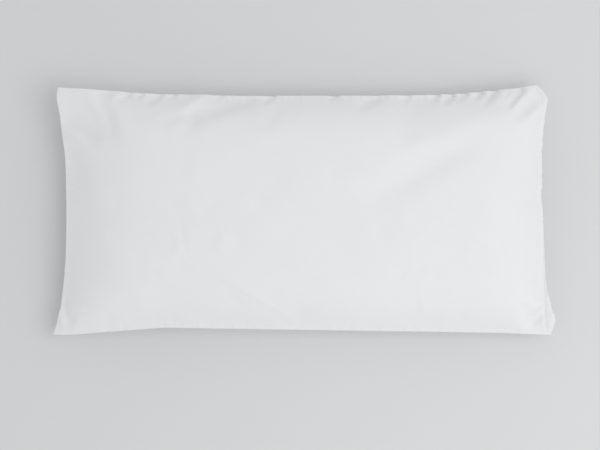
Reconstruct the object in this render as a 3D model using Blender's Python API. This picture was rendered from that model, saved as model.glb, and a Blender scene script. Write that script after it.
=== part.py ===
"""Filled pillowcase, 40 x 80 cm, lying on its back.

Metres, +Z up. The face looks up. +X runs towards the mouth, the hemmed end
that the filling goes in by, and +Y towards the long seam that stands uppermost
when the pillow is propped on its other long side. The origin is at the middle
of the flat patch that the pillow rests on.

The case is one cloth bag around its filling, so it is one solid: a crowned
face, an underside that is flat where it rests, three sewn sides, and the two
hemmed lips of the mouth with the narrow slit between them.
"""

import math
from collections import namedtuple

import bmesh
import bpy

MM = 0.001

# Overall size of the filled case.
LENGTH = 0.7865
WIDTH = 0.3935
LOFT = 0.105

# Height of the seam line above the surface, at the corners and mid sides.
SEAM_Z_CORNER = 0.040
SEAM_Z_LONG_SIDE = 0.050
SEAM_Z_SHORT_SIDE = 0.048

# The sewn edge and the open mouth.
SEAM_THICKNESS = 0.0032
SEAM_ROUNDING = 0.0016
LIP_THICKNESS = 0.0020
SLIT_HEIGHT = 0.0022
SLIT_DEPTH = 0.0110
MOUTH_CLOSED_END = 0.07

# How quickly the face rises from each seam: the run over which it comes to about
# two thirds of its height, and how level it starts out.
CLOSED_END_RUN = 0.052
MOUTH_RUN = 0.038
LONG_SIDE_RUN = 0.033
RISE_CURVE = 1.25
MIDDLE_FALL = 0.12

# How far in from the ends and sides the underside has come down to the surface.
REST_INSET_ALONG = 0.095
REST_INSET_ACROSS = 0.066
REST_BULGE = 0.7
REST_CURVE = 2.3

# Mesh: cells along, cells across, and how much they close up at the rim.
CELLS_ALONG = 80
CELLS_ACROSS = 28
RIM_ROWS = 5
GRADING_ALONG = 0.40
GRADING_ACROSS = 0.62

COTTON_WHITE = (0.80, 0.80, 0.805, 1.0)
COTTON_ROUGHNESS = 0.85

# Where each side runs, in millimetres: a place along the side, measured from
# the middle, and how far the side lies inside the overall size there.
Station = namedtuple("Station", "along inset")

UPPER_SIDE = (
    Station(-390, 7.5),
    Station(-340, 10.0),
    Station(-260, 14.0),
    Station(-166, 17.0),
    Station(-8, 18.5),
    Station(150, 17.5),
    Station(230, 15.5),
    Station(308, 9.0),
    Station(340, 5.0),
    Station(367, 0.5),
    Station(384, 0.5),
)

LOWER_SIDE = (
    Station(-396, 2.5),
    Station(-371, 2.0),
    Station(-339, 4.0),
    Station(-308, 6.5),
    Station(-260, 10.0),
    Station(-216, 13.0),
    Station(-166, 12.2),
    Station(-8, 9.8),
    Station(150, 7.5),
    Station(308, 4.8),
    Station(345, 3.2),
    Station(392, 2.0),
)

CLOSED_END = (
    Station(-197, 2.0),
    Station(-177, 8.0),
    Station(-158, 12.5),
    Station(-119, 17.5),
    Station(-79, 20.5),
    Station(-16, 21.5),
    Station(31, 20.5),
    Station(91, 18.0),
    Station(126, 12.5),
    Station(158, 8.5),
    Station(181, 4.5),
    Station(195, 7.0),
)

MOUTH_FRONT_LIP = (
    Station(-195, 14.0),
    Station(-174, 16.5),
    Station(-143, 18.0),
    Station(-110, 19.5),
    Station(-40, 19.5),
    Station(-4, 20.0),
    Station(15, 22.0),
    Station(47, 20.5),
    Station(94, 20.0),
    Station(142, 15.5),
    Station(158, 12.5),
    Station(177, 10.5),
    Station(188, 16.0),
    Station(196, 26.0),
)

MOUTH_BACK_LIP = (
    Station(-196, 9.0),
    Station(-187, 3.5),
    Station(-177, 0.0),
    Station(-168, 2.0),
    Station(-152, 7.0),
    Station(-135, 12.0),
    Station(-111, 15.5),
    Station(-79, 17.0),
    Station(-40, 18.5),
    Station(-4, 20.0),
    Station(15, 22.0),
    Station(47, 20.5),
    Station(94, 20.0),
    Station(142, 15.0),
    Station(158, 11.5),
    Station(177, 10.0),
    Station(188, 16.0),
    Station(196, 26.0),
)

# Corners that the filling hardly reaches, which stay flat like ears: the sign of
# x and of y at the corner, the ear's reach along each side and how far its tip
# stands above the other corners, in millimetres, and the share of the fullness
# that is left at its tip. An ear reaches further along the corner's diagonal.
Ear = namedtuple("Ear", "x_sign y_sign along across raised fill")

EARS = (
    Ear(-1, 1, 50, 52, 24, 0.45),
    Ear(-1, -1, 15, 16, 0, 0.3),
    Ear(1, 1, 30, 28, 4, 0.2),
    Ear(1, -1, 26, 26, 0, 0.0),
)
EAR_LEAN = 0.4
EAR_SQUARENESS = 3.0
EAR_RAISE_REACH = 0.160

# Folds reach their full depth this far in from the seams, which share part of
# it, and at this distance the underside is free of the seams' own dips.
FOLD_START = 0.007
SEAM_FOLLOWS = 0.8
DIP_REACH = 0.030

# Folds of the face, in millimetres: the two ends of each fold's crease, half
# its width, and how far the cloth stands proud (or lies low, where negative).
# "fade" is the share of the length over which each end dies away.
Fold = namedtuple("Fold", "name x0 y0 x1 y1 width lift fade_start fade_end")

FOLDS = (
    Fold("corner crease", -322, 183, -289, 101, 13, -4.6, 0.05, 0.50),
    Fold("corner ridge line", -338, 186, -301, 105, 8, 3.0, 0.10, 0.45),
    Fold("closed end crease", -372, 140, -314, 96, 11, -6.6, 0.20, 0.35),
    Fold("closed end lower crease", -377, 90, -336, 41, 13, -3.6, 0.25, 0.45),
    Fold("left trough", -79, 177, -196, 129, 15, -9.6, 0.30, 0.22),
    Fold("left ridge", -153, 183, -199, 147, 9, 5.2, 0.05, 0.50),
    Fold("left second trough", -158, 154, -229, 126, 9, -3.2, 0.40, 0.40),
    Fold("right trough", 125, 181, 78, 153, 8, -6.6, 0.15, 0.35),
    Fold("right hollow", 190, 180, 144, 126, 22, -5.0, 0.15, 0.60),
    Fold("long trough", 255, 98, 81, -4, 25, -7.0, 0.30, 0.35),
    Fold("long ridge", 271, 135, 106, 66, 19, 2.6, 0.35, 0.40),
    Fold("mouth corner hollow", 370, 177, 331, 139, 8, -1.2, 0.10, 0.50),
    Fold("mouth corner fold", 383, -154, 342, -190, 9, -4.2, 0.05, 0.50),
    Fold("closed corner fold", -384, -143, -369, -184, 8, -3.2, 0.05, 0.50),
    Fold("deep pucker", 346, 191, 312, 150, 8, -6.6, 0.05, 0.42),
    Fold("corner ridge", 361, 192, 321, 150, 8, 3.0, 0.05, 0.50),
    Fold("right pucker 7", 323, 188, 310, 172, 8, -2.8, 0.05, 0.60),
    Fold("right pucker 6", 304, 188, 277, 158, 8, -6.0, 0.05, 0.42),
    Fold("right pucker 5", 283, 184, 263, 167, 8, -4.8, 0.05, 0.50),
    Fold("right pucker 4", 258, 183, 237, 169, 8, -5.2, 0.05, 0.50),
    Fold("right pucker 3", 236, 181, 212, 161, 8, -5.9, 0.05, 0.45),
    Fold("right pucker 2", 211, 181, 193, 167, 8, -4.5, 0.05, 0.50),
    Fold("right pucker 1", 165, 180, 149, 161, 8, -3.4, 0.05, 0.60),
    Fold("centre pucker", 51, 180, 35, 167, 8, -4.3, 0.05, 0.50),
    Fold("middle pucker", -47, 180, -69, 162, 8, -5.6, 0.05, 0.45),
    Fold("left pucker 3", -224, 183, -252, 158, 8, -4.8, 0.05, 0.50),
    Fold("left pucker 1", -271, 184, -298, 166, 8, -3.8, 0.05, 0.60),
    Fold("middle crease", -191, -19, -180, -79, 8, -0.9, 0.40, 0.40),
    Fold("mouth dent", 364, 9, 351, -30, 8, -1.5, 0.30, 0.50),
    Fold("lower middle pucker", -208, -187, -221, -163, 8, 1.2, 0.05, 0.60),
    Fold("closed corner ridge", -384, -158, -374, -190, 8, 2.4, 0.20, 0.40),
)


def clear_scene():
    """Remove every object, so the file holds this model alone."""
    for item in list(bpy.data.objects):
        bpy.data.objects.remove(item, do_unlink=True)


def lerp(start, end, share):
    return start + (end - start) * share


def smoothstep(value):
    """Ease from 0 to 1, held at both ends."""
    held = min(max(value, 0.0), 1.0)
    return held * held * (3.0 - 2.0 * held)


def smooth_curve(stations):
    """A function through the stations, in metres, with an even slope at each."""
    places = [station.along * MM for station in stations]
    values = [station.inset * MM for station in stations]
    last = len(places) - 1
    slopes = []
    for index in range(last + 1):
        low = max(index - 1, 0)
        high = min(index + 1, last)
        slopes.append((values[high] - values[low]) / (places[high] - places[low]))

    def read(place):
        held = min(max(place, places[0]), places[last])
        index = 0
        while index < last - 1 and held > places[index + 1]:
            index += 1
        span = places[index + 1] - places[index]
        t = (held - places[index]) / span
        rise = t * t * (3.0 - 2.0 * t)
        ease_in = t * (1.0 - t) * (1.0 - t)
        ease_out = -t * t * (1.0 - t)
        bend = slopes[index] * ease_in + slopes[index + 1] * ease_out
        return lerp(values[index], values[index + 1], rise) + span * bend

    return read


upper_inset = smooth_curve(UPPER_SIDE)
lower_inset = smooth_curve(LOWER_SIDE)
closed_inset = smooth_curve(CLOSED_END)
front_lip_inset = smooth_curve(MOUTH_FRONT_LIP)
back_lip_inset = smooth_curve(MOUTH_BACK_LIP)


def graded(place, grading):
    """Move a place between -1 and 1 towards the nearer end."""
    return lerp(place, math.sin(0.5 * math.pi * place), grading)


def from_end(u):
    """Distance from the nearer end of the case, in metres."""
    return 0.5 * LENGTH * (1.0 - abs(u))


def from_side(v):
    """Distance from the nearer long side, in metres."""
    return 0.5 * WIDTH * (1.0 - abs(v))


def from_corner(ear, u, v):
    """Distances along and across from an ear's corner, in metres."""
    along = 0.5 * LENGTH * (1.0 - ear.x_sign * u)
    across = 0.5 * WIDTH * (1.0 - ear.y_sign * v)
    return along, across


def ear_share(u, v):
    """Least at the tip of each flat corner ear, 1 beyond the ears."""
    share = 1.0
    for ear in EARS:
        along, across = from_corner(ear, u, v)
        a = max(along - EAR_LEAN * across, 0.0) / (ear.along * MM)
        b = max(across - EAR_LEAN * along, 0.0) / (ear.across * MM)
        away = (a**EAR_SQUARENESS + b**EAR_SQUARENESS) ** (1.0 / EAR_SQUARENESS)
        share *= lerp(ear.fill, 1.0, smoothstep((away - 0.4) / 1.2))
    return share


def risen(distance, run):
    """Share of its full height that the face has reached at a distance from a seam."""
    return max(1.0 - math.exp(-((distance / run) ** RISE_CURVE)), 1e-9)


def crown(u, v):
    """Fullness of the filling: 0 at the rim and 1 in the middle."""
    along = risen(from_end(u), MOUTH_RUN if u > 0.0 else CLOSED_END_RUN)
    across = risen(from_side(v), LONG_SIDE_RUN)
    fall = 1.0 - MIDDLE_FALL * 0.5 * (u * u + v * v)
    return ear_share(u, v) * fall / (1.0 / along + 1.0 / across - 1.0)


def lifted_off(distance, inset):
    """Share of the seam's height that the underside keeps at a distance from it."""
    share = min(distance / inset, 1.0)
    return (1.0 - share**REST_BULGE) ** REST_CURVE


def underside_share(u, v):
    """The underside's height as a share of the seam's: 0 where it rests."""
    at_ends = 1.0 - lifted_off(from_end(u), REST_INSET_ALONG)
    at_sides = 1.0 - lifted_off(from_side(v), REST_INSET_ACROSS)
    return 1.0 - at_ends * at_sides * ear_share(u, v)


def seam_height(u, v):
    """Height of the seam line: lowest at the corners, highest mid side."""
    long_side = (SEAM_Z_LONG_SIDE - SEAM_Z_CORNER) * (1.0 - abs(u) ** 5.0)
    short_side = (SEAM_Z_SHORT_SIDE - SEAM_Z_CORNER) * (1.0 - abs(v) ** 3.0)
    height = SEAM_Z_CORNER + (long_side**4.0 + short_side**4.0) ** 0.25
    for ear in EARS:
        along, across = from_corner(ear, u, v)
        near = smoothstep(1.0 - math.hypot(along, across) / EAR_RAISE_REACH)
        height += ear.raised * MM * near
    return height


def fold_lift(x, y):
    """How far the folds raise or lower the face at a place."""
    lift = 0.0
    for fold in FOLDS:
        start_x = fold.x0 * MM
        start_y = fold.y0 * MM
        run_x = fold.x1 * MM - start_x
        run_y = fold.y1 * MM - start_y
        length = math.hypot(run_x, run_y)
        share = ((x - start_x) * run_x + (y - start_y) * run_y) / (length * length)
        aside = ((x - start_x) * run_y - (y - start_y) * run_x) / length
        if share < -0.5 or share > 1.5 or abs(aside) > 3.0 * fold.width * MM:
            continue
        grow = smoothstep(0.5 + share / (2.0 * fold.fade_start))
        die = smoothstep((1.0 - share) / fold.fade_end)
        across = math.exp(-((aside / (fold.width * MM)) ** 2.0))
        lift += fold.lift * MM * grow * die * across
    return lift


def mouth_share(u, v):
    """1 on the open part of the mouth end, 0 at its corners and elsewhere."""
    if u < 0.0:
        return 0.0
    open_part = smoothstep((1.0 - abs(v)) / MOUTH_CLOSED_END)
    return open_part * smoothstep((u - 0.9) / 0.1)


def place_on_plan(u, v, lip_inset):
    """Where a point of a panel lies, seen from above."""
    row_y = 0.5 * WIDTH * v
    left = closed_inset(row_y) - 0.5 * LENGTH
    right = 0.5 * LENGTH - lip_inset(row_y)
    x = lerp(left, right, 0.5 * (u + 1.0))
    low = lower_inset(x) - 0.5 * WIDTH
    high = 0.5 * WIDTH - upper_inset(x)
    y = lerp(low, high, 0.5 * (v + 1.0))
    return x, y


def shape_point(u, v, w):
    """Turn a point of the flat bag into its place on the filled one.

    u runs along the bag and v across it, from -1 to 1. w is 1 on the face,
    -1 on the underside and between them on the rim.
    """
    on_face = w > 0.0
    x, y = place_on_plan(u, v, front_lip_inset if on_face else back_lip_inset)
    seam = seam_height(u, v)
    mouth = mouth_share(u, v)
    half_mouth = 0.5 * SLIT_HEIGHT + LIP_THICKNESS
    half_edge = lerp(0.5 * SEAM_THICKNESS, half_mouth, mouth)
    inward = min(from_end(u), from_side(v))
    fold = fold_lift(x, y)
    dip = SEAM_FOLLOWS * fold * smoothstep(1.0 - inward / DIP_REACH)
    if w > 0.999:
        free = lerp(SEAM_FOLLOWS, 1.0, smoothstep(inward / FOLD_START))
        return x, y, lerp(seam + half_edge, LOFT, crown(u, v)) + free * fold
    if w < -0.999:
        return x, y, (seam - half_edge) * underside_share(u, v) + dip

    rounding = SEAM_ROUNDING * (1.0 - w * w)
    if abs(v) > 0.999:
        y += math.copysign(rounding, v)
    if u < -0.999:
        x -= rounding
    if u > 0.999:
        x += rounding * (1.0 - mouth)
        in_slit = abs(w) < 0.4
        if in_slit:
            deepest = min(x, place_on_plan(u, v, front_lip_inset)[0]) - SLIT_DEPTH
            x = lerp(x, deepest, mouth)
    half_slit = math.copysign(0.5 * SLIT_HEIGHT, w)
    z = seam + dip + lerp(w * half_edge, half_slit, mouth)
    return x, y, z


def flat_bag():
    """A unit bag: two gridded panels joined by a rim of RIM_ROWS rows."""
    bm = bmesh.new()
    bmesh.ops.create_grid(bm, x_segments=CELLS_ALONG, y_segments=CELLS_ACROSS, size=1.0)
    bmesh.ops.translate(bm, verts=bm.verts, vec=(0.0, 0.0, 1.0))
    grown = bmesh.ops.extrude_face_region(bm, geom=bm.faces[:], use_keep_orig=True)
    underside = [item for item in grown["geom"] if isinstance(item, bmesh.types.BMVert)]
    bmesh.ops.translate(bm, verts=underside, vec=(0.0, 0.0, -2.0))
    upright = [edge for edge in bm.edges if edge.verts[0].co.z * edge.verts[1].co.z < 0.0]
    bmesh.ops.subdivide_edges(bm, edges=upright, cuts=RIM_ROWS - 1, use_grid_fill=True)
    return bm


def filled_pillowcase(collection):
    """Model the filled case as one closed solid, centred over the origin."""
    bm = flat_bag()
    for vert in bm.verts:
        u = graded(vert.co.x, GRADING_ALONG)
        v = graded(vert.co.y, GRADING_ACROSS)
        vert.co = shape_point(u, v, vert.co.z)
    low_x = min(vert.co.x for vert in bm.verts)
    high_x = max(vert.co.x for vert in bm.verts)
    low_y = min(vert.co.y for vert in bm.verts)
    high_y = max(vert.co.y for vert in bm.verts)
    to_middle = (-0.5 * (low_x + high_x), -0.5 * (low_y + high_y), 0.0)
    bmesh.ops.translate(bm, verts=bm.verts, vec=to_middle)
    bmesh.ops.recalc_face_normals(bm, faces=bm.faces)

    mesh = bpy.data.meshes.new("filled_pillowcase")
    bm.to_mesh(mesh)
    bm.free()
    mesh.shade_smooth()
    mesh.set_sharp_from_angle(angle=math.radians(50.0))
    case = bpy.data.objects.new("filled_pillowcase", mesh)
    case.data.materials.append(white_cotton())
    collection.objects.link(case)
    return case


def white_cotton():
    """Plain white cotton cloth."""
    material = bpy.data.materials.new("white_cotton")
    material.use_nodes = True
    shader = material.node_tree.nodes["Principled BSDF"]
    shader.inputs["Base Color"].default_value = COTTON_WHITE
    shader.inputs["Roughness"].default_value = COTTON_ROUGHNESS
    shader.inputs["Metallic"].default_value = 0.0
    return material


def main():
    clear_scene()
    collection = bpy.data.collections.new("Pillowcase")
    bpy.context.scene.collection.children.link(collection)
    filled_pillowcase(collection)


main()
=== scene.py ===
"""Looks of the filled pillowcase: the cotton, its seams, mouth hems and stitching.

Laid out as an add-on with one operator for each piece and one for the stage, and
run as a script. Metres, +Z up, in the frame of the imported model: the face looks
up, and +X runs towards the mouth, the hemmed end that the filling goes in by.
"""

import math
from collections import namedtuple

import bmesh
import bpy
import numpy as np
from mathutils import Matrix, Vector


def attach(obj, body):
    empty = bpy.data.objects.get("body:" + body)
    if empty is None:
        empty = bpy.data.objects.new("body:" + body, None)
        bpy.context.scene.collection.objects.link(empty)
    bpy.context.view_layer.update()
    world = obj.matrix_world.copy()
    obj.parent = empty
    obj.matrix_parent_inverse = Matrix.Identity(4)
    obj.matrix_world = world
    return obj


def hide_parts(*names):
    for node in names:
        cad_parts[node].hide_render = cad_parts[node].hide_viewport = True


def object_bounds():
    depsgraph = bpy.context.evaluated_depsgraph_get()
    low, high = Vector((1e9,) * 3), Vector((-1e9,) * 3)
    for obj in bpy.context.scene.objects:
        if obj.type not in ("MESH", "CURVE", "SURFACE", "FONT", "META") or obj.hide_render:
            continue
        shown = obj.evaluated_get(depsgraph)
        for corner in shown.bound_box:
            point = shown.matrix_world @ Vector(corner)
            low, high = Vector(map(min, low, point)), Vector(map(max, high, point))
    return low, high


bl_info = {
    "name": "Filled pillowcase",
    "version": (1, 0, 0),
    "blender": (4, 5, 0),
    "location": "3D View > Sidebar > Pillowcase",
    "description": "Dresses a filled cotton pillowcase lying on a pale floor",
    "category": "Object",
}

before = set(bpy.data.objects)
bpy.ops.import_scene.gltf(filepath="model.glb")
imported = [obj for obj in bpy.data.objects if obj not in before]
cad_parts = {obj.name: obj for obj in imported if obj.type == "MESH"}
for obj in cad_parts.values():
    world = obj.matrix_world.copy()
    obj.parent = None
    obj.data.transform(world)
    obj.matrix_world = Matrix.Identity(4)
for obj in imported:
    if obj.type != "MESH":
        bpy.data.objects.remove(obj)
NODE = "filled_pillowcase"
CAD_LOW, CAD_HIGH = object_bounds()

MM = 0.001

# The case as its solid has it: overall size, loft, the height of the seam line at
# the corners and at mid side, and how flat it runs before it falls to the corners.
LENGTH = 786.5 * MM
WIDTH = 393.5 * MM
LOFT = CAD_HIGH.z - CAD_LOW.z
SEAM_Z_CORNER = 40.0 * MM
SEAM_Z_LONG_SIDE = 50.0 * MM
SEAM_Z_SHORT_SIDE = 48.0 * MM
SEAM_FLATNESS_LONG_SIDE = 5.0
SEAM_FLATNESS_SHORT_SIDE = 3.0
SEAM_BLEND = 4.0

# The seam's edge: its thickness, how far it rounds out and the groove along it.
SEAM_THICKNESS = 3.2 * MM
ROUNDING = 1.6 * MM
SEAM_GROOVE = 0.9 * MM

# The face: how far in from each side it takes most of its rise, the curve of that
# rise, and how much lower the crown is at the rims than in the middle.
CLOSED_END_RUN = 52.0 * MM
MOUTH_RUN = 38.0 * MM
LONG_SIDE_RUN = 33.0 * MM
RISE_CURVE = 1.25
MIDDLE_FALL = 0.12

# The underside: how far in from the rims it comes to rest, and the two powers that
# shape its bulge down to there.
REST_INSET_ALONG = 95.0 * MM
REST_INSET_ACROSS = 66.0 * MM
REST_BULGE = 0.7
REST_CURVE = 2.3

# The mouth is open but for this share of the end at each corner, and it takes
# effect over the last tenth of half the length.
MOUTH_CLOSED_END = 0.07
MOUTH_STARTS = 0.9
MOUTH_RAMP = 0.1

# The cloth's grid before it is subdivided: the distances of its lines from each
# edge, in millimetres, and beyond them how many even cells fill the middle.
SEAM_LINES = (0.0, 1.4, 3.2, 5.6, 8.8)
MOUTH_LINES = (0.0, 1.2, 2.8, 4.8, 6.8, 8.1, 9.0, 9.9, 11.2, 13.2, 16.4)
EVEN_CELLS_ALONG = 136
EVEN_CELLS_ACROSS = 66
RIM_ROWS = 6

# On the unit bag, a place past the first of these is on an edge or on a panel, and
# past the second it still is once subdivision has smoothed it. Nearer the middle of
# the rim than the other two are the seam's groove and the rows of the mouth's slit.
EDGE = 0.999
NEAR_EDGE = 0.99
GROOVE_ROWS = 0.1
SLIT_ROWS = 0.4

# The cloth's simulation: how much too wide the cloth is for the shape it starts
# from, beside the seams and in the middle, over what distance and in how many steps
# that slack fades, the cloth's weight and stiffness, how much fuller the filling
# grows and how hard it presses, and below what height the cloth lies on the floor.
# Then the most that a point may move, how much of the movement each panel keeps,
# and how high over the floor the underside keeps all of its share.
SETTLE_FRAMES = 40
SLACK_AT_SEAMS = 0.05
SLACK_IN_MIDDLE = 0.005
SLACK_REACH = 60.0 * MM
SLACK_STEPS = 20.0
CLOTH_QUALITY = 5
CLOTH_POINT_MASS = 0.02
CLOTH_STIFFNESS = 15.0
CLOTH_SHEAR = 5.0
CLOTH_BENDING = 10.0
FILLING_GROWTH = 1.02
FILLING_PRESSURE = 20.0
LIES_BELOW = 0.2 * MM
MOST_MOVED = 8.0 * MM
KEPT_ON_FACE = 0.30
KEPT_ON_UNDERSIDE = 0.9
KEPT_ABOVE_FLOOR = 14.0 * MM

# Soft dents left by the filling on each panel: how many, how far from the middle
# they lie as a share of the length and of the width, how deep, wide and long they
# are in millimetres, how they slant, and how far in from the seams they start.
DENTS = 150
DENT_FIELD = (0.46, 0.44)
DENT_DEPTH = 0.8
DENT_WIDTHS = (9.0, 20.0)
DENT_LENGTHS = (18.0, 46.0)
DENT_SLANT = math.radians(38.0)
DENT_SLANT_SPREAD = math.radians(28.0)
DENT_FADES = (0.5, 0.6)
DENT_CLEARANCE = 12.0 * MM

# The ripple that sewing draws into the cloth beside the seams and the hems: its
# height, the lengths of its waves, how much they stretch and over how many waves,
# how far it reaches, and how high it is along the hems. Each panel's hem takes its
# waves from this many metres to its own side, so that the two differ.
RIPPLE_HEIGHT = 0.45 * MM
RIPPLE_LENGTHS = (9.0 * MM, 14.0 * MM, 23.0 * MM, 37.0 * MM)
RIPPLE_STRETCH = 0.15
RIPPLE_STRETCH_WAVES = 6.0
SEAM_RIPPLE_REACH = 9.0 * MM
HEM_RIPPLE_REACH = 6.0 * MM
HEM_RIPPLE_SHARE = 0.6
HEM_RIPPLE_APART = 0.3
SEED = 11

# How softly the hem steps down to the cloth at its stitching and at its edge, and
# half the width of the groove along the stitching.
HEM_STEP = 1.2 * MM
HEM_EDGE = 1.5 * MM
HEM_GROOVE_WIDTH = 1.1 * MM

# A stitch is a little flatter than its thread is wide, and stands this share of
# the width out of the cloth. Its bead has this many sides and rings.
STITCH_FLATNESS = 0.8
STITCH_PROUD = 0.15
STITCH_SIDES = 6
STITCH_RINGS = 4

# The cotton's threads, thick places in them and broad cloudiness, by how many there are in a
# metre;
# how much each adds to the relief and to the colour, where the cloudiness and the thick
# places vary the tone at random while the weave is painted lighter on its threads' crowns and
# darker between them, painted light and shade of its relief; and the bump.
SLUBS_ALONG_THREAD = 60.0
SLUBS_ACROSS_THREAD = 900.0
CLOUDS = 14.0
THREAD_RELIEF = 0.5
SLUB_RELIEF = 0.8
COTTON_SHADE = 0.985
CLOUD_SHADE = 0.03
SLUB_TONE_AND_WEAVE_SHADE = 0.02
MEAN_THREAD = 0.6
COTTON_ROUGHNESS = 0.86
CLOUD_ROUGHNESS = 0.06
WEAVE_DEPTH = 0.12 * MM
TWISTS = 4000.0
TWIST_DEPTH = 0.05 * MM

# Light and camera. The key light shines from the mouth's end and a little from the
# lower side, and the camera looks down at the face from 4 degrees off the vertical.
FLOOR_SIZE = 24.0
LIGHT_OVERHEAD = 0.47
LIGHT_LOW_DOWN = 1.19
KEY_LIGHT_SIZE = 1.3
KEY_LIGHT_POWER = 9.9
KEY_LIGHT_PLACE = Vector((0.70, -0.30, 1.60))
KEY_LIGHT_AIM = Vector((0.0, 0.0, 0.05))
CAMERA_LENS = 85.0
CAMERA_SENSOR = 36.0
CAMERA_ELEVATION = math.radians(86.0)
CAMERA_AIM = Vector((-0.0075, -0.025, 0.045))
VIEW_WIDTH = 0.9405  # how much the picture shows from side to side, at the aim

# Where each side runs, in millimetres: a place along the side, measured from
# the middle, and how far the side lies inside the overall size there.
Station = namedtuple("Station", "along inset")

UPPER_SIDE = (
    Station(-390, 7.5),
    Station(-340, 10.0),
    Station(-260, 14.0),
    Station(-166, 17.0),
    Station(-8, 18.5),
    Station(150, 17.5),
    Station(230, 15.5),
    Station(308, 9.0),
    Station(340, 5.0),
    Station(367, 0.5),
    Station(384, 0.5),
)

LOWER_SIDE = (
    Station(-396, 2.5),
    Station(-371, 2.0),
    Station(-339, 4.0),
    Station(-308, 6.5),
    Station(-260, 10.0),
    Station(-216, 13.0),
    Station(-166, 12.2),
    Station(-8, 9.8),
    Station(150, 7.5),
    Station(308, 4.8),
    Station(345, 3.2),
    Station(392, 2.0),
)

CLOSED_END = (
    Station(-197, 2.0),
    Station(-177, 8.0),
    Station(-158, 12.5),
    Station(-119, 17.5),
    Station(-79, 20.5),
    Station(-16, 21.5),
    Station(31, 20.5),
    Station(91, 18.5),
    Station(126, 14.5),
    Station(158, 10.8),
    Station(181, 7.0),
    Station(195, 8.0),
)

MOUTH_FRONT_LIP = (
    Station(-195, 14.0),
    Station(-174, 16.5),
    Station(-143, 18.0),
    Station(-110, 19.5),
    Station(-40, 19.5),
    Station(-4, 20.0),
    Station(15, 22.0),
    Station(47, 20.5),
    Station(94, 20.0),
    Station(142, 15.5),
    Station(158, 12.5),
    Station(177, 10.5),
    Station(188, 16.0),
    Station(196, 26.0),
)

MOUTH_BACK_LIP = (
    Station(-196, 9.0),
    Station(-187, 3.5),
    Station(-177, 0.0),
    Station(-168, 2.0),
    Station(-152, 7.0),
    Station(-135, 12.0),
    Station(-111, 15.5),
    Station(-79, 17.0),
    Station(-40, 18.5),
    Station(-4, 20.0),
    Station(15, 22.0),
    Station(47, 20.5),
    Station(94, 20.0),
    Station(142, 15.0),
    Station(158, 11.5),
    Station(177, 10.0),
    Station(188, 16.0),
    Station(196, 26.0),
)

# Corners that the filling hardly reaches, which stay flat like ears: the sign of
# x and of y at the corner, the ear's reach along each side and how far its tip
# stands above the other corners, in millimetres, and the share of the fullness
# that is left at its tip. An ear reaches further along the corner's diagonal, is
# flat over the first part of its reach and has faded out a little past its end.
Ear = namedtuple("Ear", "x_sign y_sign along across raised fill")

EARS = (
    Ear(-1, 1, 50, 52, 24, 0.45),
    Ear(-1, -1, 15, 16, 0, 0.3),
    Ear(1, 1, 30, 28, 4, 0.2),
    Ear(1, -1, 26, 26, 0, 0.0),
)
EAR_LEAN = 0.4
EAR_SQUARENESS = 3.0
EAR_FLAT_TO = 0.4
EAR_FADE = 1.2
EAR_RAISE_REACH = 160.0 * MM

# Folds reach their full depth this far in from the seams, which share part of
# it, and at this distance the underside is free of the seams' own dips.
FOLD_START = 7.0 * MM
SEAM_FOLLOWS = 0.8
DIP_REACH = 30.0 * MM

# Folds of the face, in millimetres: the two ends of the crease, half its width,
# how far the cloth stands proud (or lies low, where negative), how much steeper
# one side is than the other, and the share of the length that each end fades over.
Fold = namedtuple("Fold", "x0 y0 x1 y1 width lift skew fade_start fade_end")

MAIN_FOLDS = (
    # The crease, the ridge beside it and the raised lip of the upper left corner,
    # and the two creases that run in from the closed end below it.
    Fold(-322, 183, -289, 101, 13.4, -4.6, 0.2, 0.05, 0.50),
    Fold(-338, 186, -301, 105, 7.0, 3.2, 0.0, 0.10, 0.45),
    Fold(-395, 196, -384, 142, 12.6, 5.0, 0.0, 0.30, 0.60),
    Fold(-376, 142, -314, 94, 11.1, -8.6, -0.3, 0.20, 0.35),
    Fold(-377, 90, -336, 41, 12.6, -3.6, -0.3, 0.25, 0.45),
    # The deep trough near the upper left, its ridge and a shallower one beyond it.
    Fold(-79, 177, -196, 129, 15.0, -9.6, 0.2, 0.30, 0.22),
    Fold(-153, 183, -199, 147, 8.7, 5.2, 0.2, 0.05, 0.50),
    Fold(-158, 154, -229, 126, 9.5, -3.2, 0.2, 0.40, 0.40),
    # Hollows in from the upper seam, and the long trough and ridge on the right.
    Fold(-36, 167, -68, 109, 12.6, -3.0, 0.2, 0.25, 0.50),
    Fold(125, 181, 78, 153, 7.9, -6.6, 0.3, 0.15, 0.35),
    Fold(190, 180, 144, 126, 22.1, -5.0, 0.1, 0.15, 0.60),
    Fold(255, 98, 81, -4, 25.3, -7.0, 0.2, 0.30, 0.35),
    Fold(271, 135, 106, 66, 19.0, 2.6, 0.0, 0.35, 0.40),
    # One fold at each of the other three corners.
    Fold(370, 177, 331, 139, 7.3, -0.6, 0.2, 0.10, 0.50),
    Fold(377, -157, 342, -191, 7.3, -5.4, 0.2, 0.10, 0.45),
    Fold(-377, -143, -361, -185, 7.3, -3.6, 0.2, 0.05, 0.50),
)

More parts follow.
